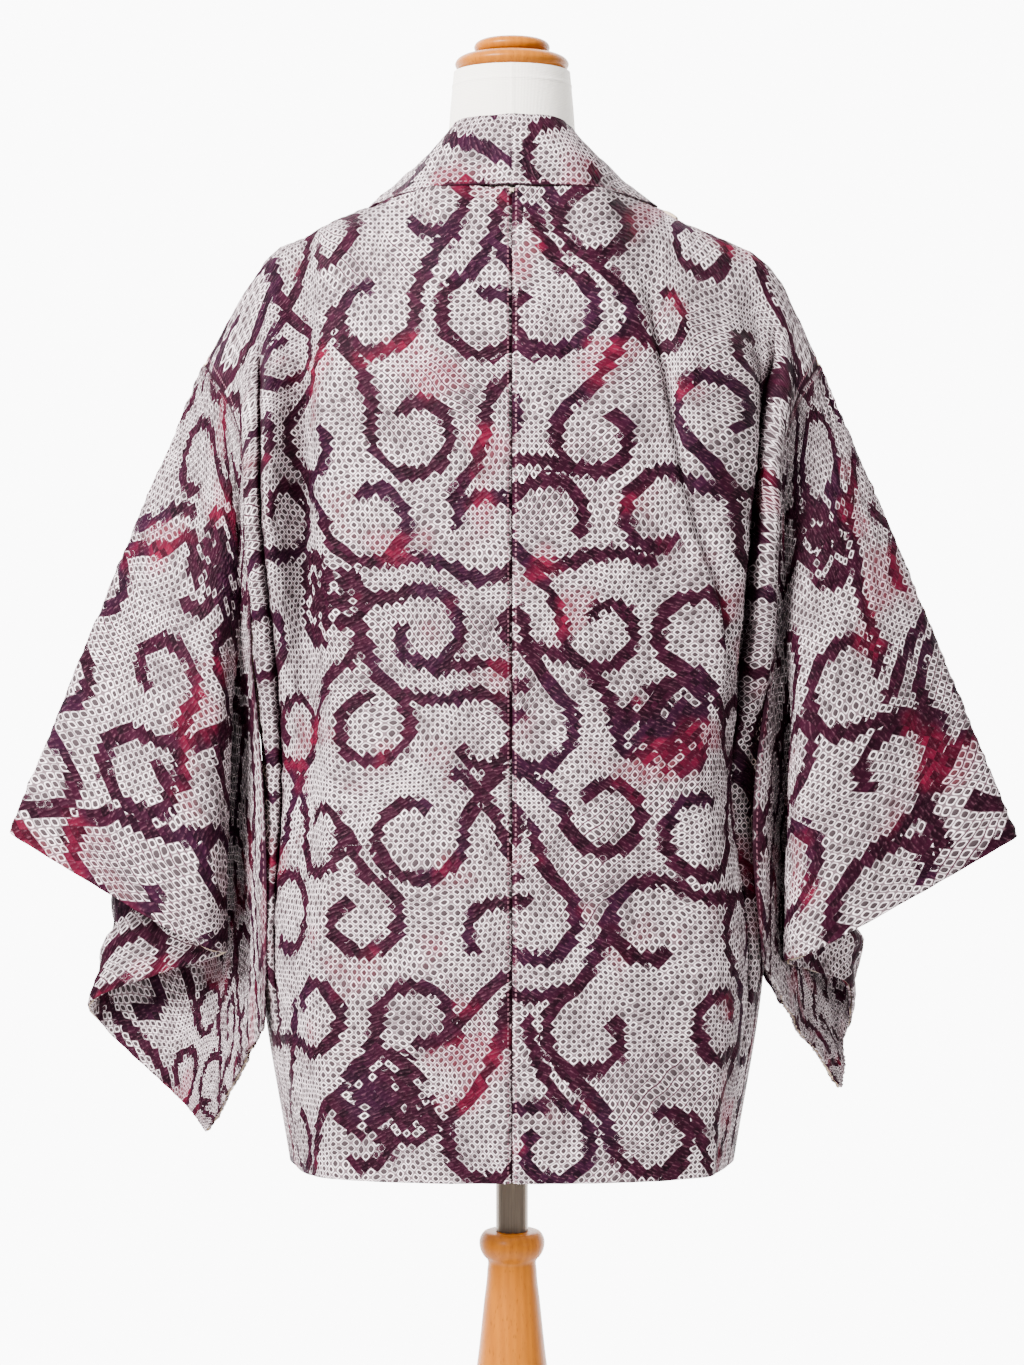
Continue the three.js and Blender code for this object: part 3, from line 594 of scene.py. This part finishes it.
def linen(name):
    """Cream linen: crossed threads of uneven thickness, slightly yellowed."""
    made, tree, shader = material(name, Sheen_Weight=0.2, Sheen_Roughness=0.6)
    spot = place(tree)
    x, y, z = spot.parts()
    round_form = spot.math("ARCTAN2", x, 0 - y) * 0.047  # metres round the neck's radius
    warp, weft = threads(round_form, z, 5600, 5200)
    slub = spot.noise(180, 3.0)
    cream = spot.noise(9, 3.0, 0.6).mix((0.72, 0.66, 0.585), (0.83, 0.785, 0.725))
    thread = warp * weft * 0.5 + slub * 0.5
    link((thread * 0.22).mix(cream, (0.62, 0.55, 0.46)), shader, "Base Color")
    link(0.82 + thread * 0.12, shader, "Roughness")
    bumped(warp + weft + slub, shader, 0.0002, 0.6)
    return made


def turned_wood(name):
    """Honey-coloured beech, turned and varnished: long grain up the piece and short dark flecks."""
    made, tree, shader = material(name, Coat_Weight=0.06, Coat_Roughness=0.22,
                                  Specular_IOR_Level=0.08)
    spot = place(tree)
    x, y, z = spot.parts()
    slow = spot.vector(x, y, z * 0.06).noise(34, 3.0, 0.6)
    rings = spot.math("SINE", (x * 900 + y * 340 + slow * 16)) * 0.5 + 0.5
    grain = spot.vector(x, y, z * 0.035).noise(420, 4.0, 0.62)
    fleck = spot.vector(x, y, z * 0.16).noise(900, 1.0).smooth(0.63, 0.74)
    wood = (rings * 0.4 + slow * 0.6).mix((0.215, 0.058, 0.0008), (0.295, 0.090, 0.0020))
    wood = (grain.smooth(0.35, 0.75) * 0.4).mix(wood, (0.17, 0.050, 0.004))
    wood = (fleck * 0.55).mix(wood, (0.09, 0.024, 0.004))
    link(wood, shader, "Base Color")
    link(0.34 + grain * 0.16, shader, "Roughness")
    bumped(grain + fleck * 0.5, shader, 0.00012, 0.5)
    return made


def brushed_steel(name):
    """A steel tube brushed along its length, warm grey."""
    made, tree, shader = material(name, Metallic=1.0)
    spot = place(tree)
    x, y, z = spot.parts()
    brush = spot.vector(x, y, z * 0.012).noise(1500, 3.0, 0.7)
    smear = spot.vector(x, y, z * 0.1).noise(60)
    grey = (brush * 0.6 + smear * 0.4).mix((0.030, 0.022, 0.016), (0.20, 0.155, 0.12))
    link(grey, shader, "Base Color")
    link(0.24 + brush * 0.22, shader, "Roughness")
    bumped(brush, shader, 0.00006, 0.6)
    return made


SILK = tied_silk("tied_silk", 0.66, (0, SIDE_ACROSS))
SLEEVE_SILK = tied_silk("tied_sleeve_silk", 0.72, (0,))
COLLAR_SILK = tied_silk("tied_collar_silk", 0.66, (0,))
LINING = lining("beige_lining")
LINEN = linen("cream_linen")
WOOD = turned_wood("honey_wood")
STEEL = brushed_steel("brushed_steel")


# ---- Body panels --------------------------------------------------------------------------------
STEP_ACROSS, STEP_ALONG = 3.2, 3.4  # between the points of a grid of cloth
# The trough down each side of the back, with the roll beyond it, and the slanting tuck.
TROUGH_START, TROUGH_START_FADE, TROUGH_END, TROUGH_END_FADE = 60, 140, 690, 60
TROUGH_DEPTH, TROUGH_WIDTH = 15, 4.2
ROLL_HEIGHT, ROLL_WIDTH, ROLL_BEYOND = 5.0, 8, 20
TUCK_RISE, TUCK_DROP, TUCK_FADE = 3.4, 8.6, 50
CALM_BY_EDGE = 26  # how far in from an edge the cloth hangs quietly


def armhole_at(drop):
    """Points of the armhole seam at each drop from the shoulder, with its half depth as y."""
    return read_table(ARMHOLE, drop)


def side_line(v):
    """The side edge of a panel at each v: open slit, armhole seam, open slit."""
    out = np.empty((len(v), 3))
    low, high = v < PIT, v > PIT_F
    out[low] = curve_at([HEM, HIP, SLIT, PIT], SIDE_BACK, v[low])
    out[high] = curve_at([PIT_F, SLIT_F, HIP_F, HEM_F], SIDE_FRONT, v[high])
    arm = ~low & ~high
    at = armhole_at(ARMHOLE_DROP * np.abs(v[arm] - TOP) / (TOP - PIT))
    at[:, 1] = np.maximum(0, at[:, 1]) * np.where(v[arm] < TOP, -1, 1)
    out[arm] = at
    return out


def body_line(row, v):
    """One line of a body table at each v; a line that the neck cuts off has no front."""
    _, back, front = row
    return curve_at(BACK + (FRONT if front else []), back + front, v)


def body_points(lines, u, v):
    """The panel's surface at u across and v along the cloth: a grid over v, then u."""
    out = np.empty((len(v), len(u), 3))
    for pick, rows, across in (
            (v <= TOP, lines, u),
            (v > TOP, [r for r in lines if r[2]], np.maximum(u, NECK_ACROSS))):
        values = [body_line(r, v[pick]) for r in rows] + [side_line(v[pick])]
        knots = [r[0] for r in rows] + [SIDE_ACROSS]
        out[pick] = curve_at(knots, values, across).transpose(1, 0, 2)
    return out


def tuck_height(tuck, uu, vv):
    """A slanting tuck: the cloth swells up to its line and drops sharply beyond it."""
    past = uu - np.interp(vv, [t[1] for t in tuck], [t[0] for t in tuck])
    ends = ramp(vv, tuck[0][1], TUCK_FADE) * ramp(vv, tuck[-1][1], -TUCK_FADE)
    swell = TUCK_RISE * mound(np.minimum(past, 0), 20)
    return ends * (swell - TUCK_DROP / (1 + np.exp(-past / 1.1)) * mound(np.maximum(past, 0), 18))


def body_panel(name, lines, side, seed, flowers, tuck, trough):
    """One strip from hem to hem over the shoulder, with a long deep fold down its back at u = trough
    and a roll of cloth beyond it. Tuck is the line of a slanting tuck, as u and v, or is empty."""
    u = spread([0, 64, NECK_ACROSS, 141, 172, 213, SIDE_ACROSS], STEP_ACROSS,
               (0, NECK_ACROSS, trough, SIDE_ACROSS))
    v = spread(BACK + FRONT, STEP_ALONG, (HEM, TOP, HEM_F))
    points = body_points(lines, u, v)
    points[..., 0] *= side
    uu, vv = np.meshgrid(u, v)
    normals = grid_normals(points, points - np.array([0, 0, 1000.0]))
    free = np.minimum(np.minimum(uu, SIDE_ACROSS - uu), np.minimum(vv, HEM_F - vv))
    neck = np.hypot(uu - NECK_ACROSS, np.maximum(0, TOP - vv))
    calm = ramp(free, 0, CALM_BY_EDGE) * ramp(neck, 0, CALM_BY_EDGE)
    drape = ripple(uu, vv * 0.22, seed, height=1.5, count=9, short=46, long=120)
    crinkle = (ripple(uu, vv, seed + 1, height=0.42, count=16, short=7, long=17)
               + ripple(uu, vv, seed + 2, height=0.45, count=8, short=18, long=40))
    # The cloth turns in at the centre seam and at the side.
    roll = -4.6 * mound(uu, 1.9) - 1.6 * mound(SIDE_ACROSS - uu, 2.4)
    along = ramp(vv, TROUGH_START, TROUGH_START_FADE) * ramp(vv, TROUGH_END, -TROUGH_END_FADE)
    roll += ROLL_HEIGHT * along * mound(uu - trough - ROLL_BEYOND, ROLL_WIDTH)
    # The trough goes straight in, so that its floor lies open to the back.
    furrow = along * mound(uu - trough - 2.5, TROUGH_WIDTH)
    points[..., 1] += TROUGH_DEPTH * furrow
    if tuck:
        roll += tuck_height(tuck, uu, vv)
    points = points + normals * (drape * calm + crinkle * ramp(free, 0, 5) + roll)[..., None]
    normals = grid_normals(points, normals)
    # No cloth inside the neck, in front of the shoulder line.
    present = ~((v[:-1, None] >= TOP) & (u[None, :-1] < NECK_ACROSS))
    # Painted shade: the silk darkens where the cloth sinks in at the centre seam, the side, the
    # troughs and the tuck.
    deep = np.maximum(ramp(-roll, 0, 9) ** 2, np.minimum(1, 1.25 * furrow))
    piece = shell(name, points, normals, BODY_WALL, np.stack([uu, vv], 2),
                  vine(seed, SIDE_ACROSS, HEM_F, 3), flowers, SILK, LINING, present, deep)


def gusset(name, side, seed):
    """The narrow piece between the back and front edges of a body strip, from the hem up."""
    v = spread([HEM, HIP, GUSSET_TOP], STEP_ALONG)
    back, front = side_line(v), side_line(2 * TOP - v)
    gap = np.linalg.norm(front - back, axis=1)
    inset = ((SEAM_GAP + 0.7) / gap)[:, None]
    f = np.linspace(0, 1, 17)
    points = back[:, None] + (front - back)[:, None] * (inset + (1 - 2 * inset) * f)[..., None]
    points[..., 0] += GUSSET_BULGE * (1 - v[:, None] / SLIT) * np.sin(math.pi * f)[None, :]
    points[..., 0] *= side
    uu, vv = np.meshgrid(f, v)
    normals = grid_normals(points, np.broadcast_to(np.array([side, 0, 0.0]), points.shape))
    piece = shell(name, points, normals, GUSSET_WALL, np.stack([uu * gap[:, None], vv], 2),
                  vine(seed, 90, 320, 1), [], SILK, LINING)


# ---- Collar -------------------------------------------------------------------------------------
def collar_half(name, lines, side, seed):
    """Half of the folded collar, from the centre back along the neck seam and down the front. Its
    grid runs along w, and across over f from the seam (0) to the fold (1)."""
    w = spread([r[0] for r in COLLAR], STEP_ACROSS, (0,))
    on_back = w <= NECK_ACROSS
    edge = np.empty((len(w), 3))
    edge[on_back] = body_points(lines, w[on_back], np.array([float(TOP)]))[0]
    edge[~on_back] = body_line(NECK_LINE, TOP + w[~on_back] - NECK_ACROSS)
    offset = read_table([[r[0], *r[1], *r[2]] for r in COLLAR], w)
    mid, fold = offset[:, :3], offset[:, 3:]
    start = mid / np.linalg.norm(mid, axis=1, keepdims=True) * (SEAM_GAP + 1)
    f = np.array([0, 0.03, 0.08, 0.15, 0.23, 0.31, 0.4, 0.5, 0.6, 0.7, 0.79, 0.87, 0.93, 0.97, 1])
    points = edge[:, None] + curve_at([0, 0.5, 1], [start, mid, fold], f).transpose(1, 0, 2)
    points[..., 0] *= side
    uu, vv = np.meshgrid(f * COLLAR_WIDTH, w)
    # Outwards is up, and to the back on the back or to the front on the front.
    outward = np.where(on_back, -1.0, 1.0)[:, None, None] * np.array([0, 1.0, 0]) + [0, 0, 1.0]
    normals = grid_normals(points, outward)
    calm = ramp(vv, 0, 10)
    swell = (ripple(uu, vv, seed, height=0.4, count=12, short=9, long=26)
             + ripple(uu, vv, seed + 1, height=0.8, count=6, short=40, long=90) * calm)
    points = points + normals * (swell * calm - 1.3 * mound(vv, 1.6))[..., None]
    normals = grid_normals(points, normals)
    # Both halves are one strip: u runs the other way on the left, so the pattern isn't mirrored.
    if side < 0:
        uu = -uu
    piece = shell(name, points, normals, COLLAR_WALL, np.stack([uu, vv], 2),
                  vine(seed, 90, 860, 1, 74.0), [], COLLAR_SILK, COLLAR_SILK)


# ---- Sleeves ------------------------------------------------------------------------------------
# On a sleeve, t runs from the body (0) to the cuff (1) and s from the top fold down one layer.
SPARE_FOLDS = 10  # folds of spare cloth between body and cuff
SPARE_SLANT = 190  # mm down the cloth to one fold's width of slant
BY_THE_BODY = 0.08  # t over which the layers bend towards their seams
SEWN_GAP, SEWN_WIDER = SEAM_GAP + 0.1, 1.6  # from the body at the shoulder, and more at its foot
SLEEVE_STEP_DOWN, SLEEVE_STEP_OUT = 3.6, 0.0095
# Extra lines of points by the top fold and bottom seam, and by the body and the cuff.
BY_FOLD_AND_SEAM = [0.25, 0.8, 1.7, 3, 5, 6.5, SLEEVE_DROP - 2.4, SLEEVE_DROP - 1]
BY_BODY_AND_CUFF = [0.002, 0.0045, 0.994, 0.9975]


def cloth_lines(lines):
    """How far down the cloth each line of a sleeve table is, halfway from body to cuff."""
    return [(r[0] + r[1]) / 2 for r in lines]


def sleeve_middle(lines, edge, s, t):
    """The sleeve's middle surface and half gap, over a grid of s down the cloth and t outwards."""
    rows = []
    for q0, _, mid, end, mid_gap, end_gap in lines:
        if q0 <= ARMHOLE_DROP:
            x, depth, z = armhole_at([q0])[0]
            start = [x, 0, z, depth]
        else:
            start = read_table(edge, [q0])[0]
        middle = curve_at([0, 0.5, 1], [start[:3], mid, end], t)
        half = (mid_gap + np.maximum(0, 1 - 2 * t) ** 3 * (start[3] - mid_gap)
                + (end_gap - mid_gap) * np.maximum(0, 2 * t - 1))
        rows.append(np.c_[middle, half])
    return curve_at(cloth_lines(lines), rows, s)


def sleeve_seam(lines, edge, s, sign, lap):
    """Where the cloth at s leaves the body, on its back (-1) or front (1) layer. Below the armhole
    the back layer laps over the body's side by up to lap mm."""
    q = np.interp(s, cloth_lines(lines), [r[0] for r in lines])
    out = np.empty((len(s), 3))
    sewn = q <= ARMHOLE_DROP
    x, depth, z = armhole_at(q[sewn]).T
    out[sewn] = np.c_[x + SEWN_GAP + SEWN_WIDER * (q[sewn] / ARMHOLE_DROP) ** 2, sign * depth, z]
    x, y, z, gap = read_table(edge, q[~sewn]).T
    free = (q[~sewn] - ARMHOLE_DROP) / (SLEEVE_DROP - ARMHOLE_DROP)
    over = lap * np.sin(math.pi * free) if sign < 0 else 0
    out[~sewn] = np.c_[x + SEWN_GAP + SEWN_WIDER - over, y + sign * gap, z]
    return out


def sleeve_facing(lines, edge, s, t):
    """Unit vectors from the front layer to the back: straight back by the body, then square to the
    sleeve's middle surface."""
    down = (sleeve_middle(lines, edge, s + 2, t)
            - sleeve_middle(lines, edge, np.maximum(0, s - 2), t))
    out = (sleeve_middle(lines, edge, s, np.minimum(1, t + 0.01))
           - sleeve_middle(lines, edge, s, np.maximum(0, t - 0.01)))
    normal = np.cross(down[..., :3], out[..., :3])
    normal /= np.linalg.norm(normal, axis=2, keepdims=True)
    blend = ramp(t, BY_THE_BODY, 0.34)
    blend = (blend**2 * (3 - 2 * blend))[None, :, None]
    facing = np.array([0, -1.0, 0]) * (1 - blend) + normal * blend
    return facing / np.linalg.norm(facing, axis=2, keepdims=True)


def spare_folds(s, t, drape, slack):
    """The hanging sleeve is narrower than its cut, so spare cloth lies in slanting folds on its front
    layer; how they lie and how deep is a guess. They fade at the top fold, the bottom seam, the body
    and the cuff, and over the outer lower corner."""
    down = s[:, None]
    slant = 2 * math.pi * (SPARE_FOLDS * t[None, :] + down / SPARE_SLANT) + drape * 0.4
    spare = slack * (1 + np.sin(slant)) * ramp(down, 0, 70)
    spare *= (ramp(t, 0, 0.12) * ramp(t, 1, -0.22))[None, :]
    corner = ramp(down, 250, 70) * ramp(t[None, :], 0.25, 0.25)
    return spare * ramp(down, SLEEVE_DROP, -20) * (1 - 0.94 * corner)


def sleeve(name, lines, edge, side, seed, flowers, slack, lap):
    """A sleeve of two layers; slack is how deep its spare cloth folds on the front layer and lap how
    far its back layer covers the body's side, in mm."""
    s = np.unique(np.r_[spread(cloth_lines(lines), SLEEVE_STEP_DOWN), BY_FOLD_AND_SEAM])
    t = np.unique(np.r_[spread([0, 0.12, 0.5, 1], SLEEVE_STEP_OUT), BY_BODY_AND_CUFF])
    here = sleeve_middle(lines, edge, s, t)
    facing = sleeve_facing(lines, edge, s, t)
    # The top fold is round: the layers part over its first few millimetres.
    gap = here[..., 3] * np.sqrt(1 - (1 - ramp(s, 0, 9)[:, None]) ** 2)
    tt, ss = np.meshgrid(t * SLEEVE_OUT, s)
    calm = ramp(t, 0, 0.1)[None, :] * np.maximum(0.15, ramp(t, 1, -0.08))[None, :]
    drape = ripple(tt, ss, seed, height=1.6, count=9, short=60, long=150) * calm
    drape *= ramp(s, 0, 40)[:, None]
    spare = spare_folds(s, t, drape, slack)
    layers = []
    for sign in (-1, 1):
        layer = here[..., :3] - facing * (sign * gap)[..., None]
        miss = sleeve_seam(lines, edge, s, sign, lap) - layer[:, 0]
        layer = layer + miss[:, None] * ((1 - ramp(t, 0, BY_THE_BODY)) ** 3)[None, :, None]
        layers.append(layer + facing * (drape - (spare if sign > 0 else 0))[..., None])
    # Front layer from the bottom seam up to the top fold, then the back layer down again.
    points = np.concatenate([layers[1][:0:-1], layers[0]])
    ss = np.concatenate([-s[:0:-1], s])
    points[..., 0] *= side
    outward = np.zeros_like(points)
    outward[..., 1] = np.where(ss < 0, 1.0, -1.0)[:, None]
    normals = grid_normals(points, outward)
    tt, ss = np.meshgrid(t * SLEEVE_OUT, ss)
    crinkle = ripple(tt, ss, seed + 1, height=0.62, count=16, short=8, long=17)
    points = points + normals * (crinkle * ramp(tt, 0, 6) - 1.2 * mound(tt, 2.2))[..., None]
    normals = grid_normals(points, normals)
    # Deep darkens the silk next to the body as painted shade.
    piece = shell(name, points, normals, SLEEVE_WALL, np.stack([tt, ss + SLEEVE_DROP], 2),
                  vine(seed, SLEEVE_OUT, 2 * SLEEVE_DROP, 5), flowers, SLEEVE_SILK, LINING,
                  deep=0.7 * mound(tt, 9))


# Each flower is given by its u and v on the cloth and its turn.
body_panel("body_left", LEFT_LINES, -1, 5,
           [(92, 60, 0.4), (150, 440, 1.1), (60, 1290, 0.2)], [], 222)
body_panel("body_right", RIGHT_LINES, 1, 8, [(118, 340, 0.9), (170, 1240, 2.0)],
           [(176, 330), (158, 430), (138, 490), (110, 600), (88, 690)], 224)
gusset("gusset_left", -1, 21)
gusset("gusset_right", 1, 22)
collar_half("collar_left", LEFT_LINES, -1, 31)
collar_half("collar_right", RIGHT_LINES, 1, 33)
sleeve("sleeve_left", LEFT_SLEEVE, LEFT_EDGE, -1, 41,
       [(262, 790, 0.3), (120, 610, 1.2), (200, 260, 0.5)], 4.6, 7)
sleeve("sleeve_right", RIGHT_SLEEVE, RIGHT_EDGE, 1, 44,
       [(300, 760, 0.8), (110, 580, 0.1), (240, 300, 1.5)], 9.6, 12)


# ---- Form and stand -----------------------------------------------------------------------------
NECK_TAPE = 1411  # height of the raised tape round the neck
SHARP = math.radians(50)


def revolve(name, rows, around, finish, node):
    """Closed rings from bottom to top, with both ends shut; a row is a height and a function that
    gives the ring's points from their angles."""
    angles = np.arange(around) / around * 2 * math.pi
    rings = np.array([np.c_[ring(angles), np.full(around, z)] for z, ring in rows])
    n = len(rings)
    verts = np.concatenate([rings.reshape(-1, 3), [[0, 0, rows[0][0]], [0, 0, rows[-1][0]]]])
    k = np.arange(around)
    after = (k + 1) % around
    low = np.arange(n - 1)[:, None] * around
    high = low + around
    last = (n - 1) * around
    walls = np.stack([low + k, low + after, high + after, high + k], 2).reshape(-1, 4)
    bottom = np.c_[np.full(around, n * around), after, k]
    top = np.c_[np.full(around, n * around + 1), last + k, last + after]
    faces = walls.tolist() + bottom.tolist() + top.tolist()
    piece = new_piece(name, verts, faces, [finish], node)
    piece.data.set_sharp_from_angle(angle=SHARP)


def oval(width, back, front, proud):
    """A ring that is wide, deeper to one side than the other, and has a proud seam down its back."""
    def ring(angle):
        depth = np.where(np.sin(angle) > 0, front, back)
        seam = proud * mound(np.abs(np.sin((angle + math.pi / 2) / 2)) * 2 * width, 1.3)
        return np.c_[(width + seam) * np.cos(angle), (depth + seam) * np.sin(angle)]
    return ring


def circle(radius):
    return lambda angle: np.c_[radius * np.cos(angle), radius * np.sin(angle)]


form_rows = []
for height in spread([r[0] for r in FORM], 7, (NECK_TAPE,)):
    wide, back, front = read_table(FORM, [height])[0]
    tape = 0.45 * mound(height - NECK_TAPE, 1.1)
    form_rows.append((height, oval(wide + tape, back + tape, front + tape, 0.5)))
revolve("form_body_linen", form_rows, 240, LINEN, "form_body")


def smooth_profile(profile, step):
    """A turned outline as a smooth curve, with its beads rounded, between its flat ends."""
    along = np.r_[0, np.cumsum([math.dist(a, b) for a, b in zip(profile, profile[1:])])]
    return curve_at(along, profile, spread(along.tolist(), step))


for name, profile, step in (("pillar", PILLAR, 2.5), ("base", BASE, 3),
                            ("cap_lower", CAP_LOWER, 0.7), ("cap_upper", CAP_UPPER, 0.7)):
    rows = [(z, circle(r)) for z, r in smooth_profile(profile, step)]
    revolve(f"{name}_wood", rows, 128, WOOD, name)
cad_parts["pole"].data.materials.clear()
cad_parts["pole"].data.materials.append(STEEL)

# ---- Room ---------------------------------------------------------------------------------------
FLOOR = 20  # half the floor's width, in metres
LAMP_AIM = np.array([0, 0, 1.0])

floor_mesh = bpy.data.meshes.new("floor")
corners = [(FLOOR * x, FLOOR * y, 0) for x, y in ((-1, -1), (1, -1), (1, 1), (-1, 1))]
floor_mesh.from_pydata(corners, [], [(0, 1, 2, 3)])
floor = bpy.data.objects.new("floor", floor_mesh)
bpy.context.scene.collection.objects.link(floor)
floor_paint, floor_tree, floor_shader = material("pale_floor", Roughness=0.9, Specular_IOR_Level=0.1)
spot = place(floor_tree)
link(spot.noise(6).mix((0.90, 0.90, 0.90), (0.92, 0.92, 0.92)), floor_shader, "Base Color")
floor_x, floor_y, _ = spot.parts()
from_stand = spot.math("SQRT", floor_x * floor_x + floor_y * floor_y)
link(1 - from_stand.smooth(0.5, 1.5), floor_shader, "Alpha")  # fades into the studio's white
floor_mesh.materials.append(floor_paint)

world = bpy.data.worlds.new("studio")
world.use_nodes = True
background = world.node_tree.nodes["Background"]
sky = world.node_tree.nodes.new("ShaderNodeTexCoord")
behind = Wire(world.node_tree, sky.outputs["Generated"]).parts()[1].smooth(0.1, 0.9)
# Brighter behind the haori, as a lit studio wall is.
link(behind * 9.5 + 0.9, background, "Strength")
background.inputs["Color"].default_value = (1, 1, 1, 1)
bpy.context.scene.world = world


def lamp(name, at, size, power):
    """A round lamp at a place, turned towards the haori."""
    light = bpy.data.lights.new(name, "AREA")
    light.shape, light.size, light.energy = "DISK", size, power
    made = bpy.data.objects.new(name, light)
    made.location = at
    way = LAMP_AIM - np.array(at)
    tilt = math.acos(-way[2] / np.linalg.norm(way))
    made.rotation_euler = (tilt, 0, math.atan2(way[1], way[0]) - math.pi / 2)
    bpy.context.scene.collection.objects.link(made)


lamp("key", (-1.5, -1.9, 2.5), 1.2, 580)
lamp("fill", (2.6, -2.0, 1.6), 1.8, 35)
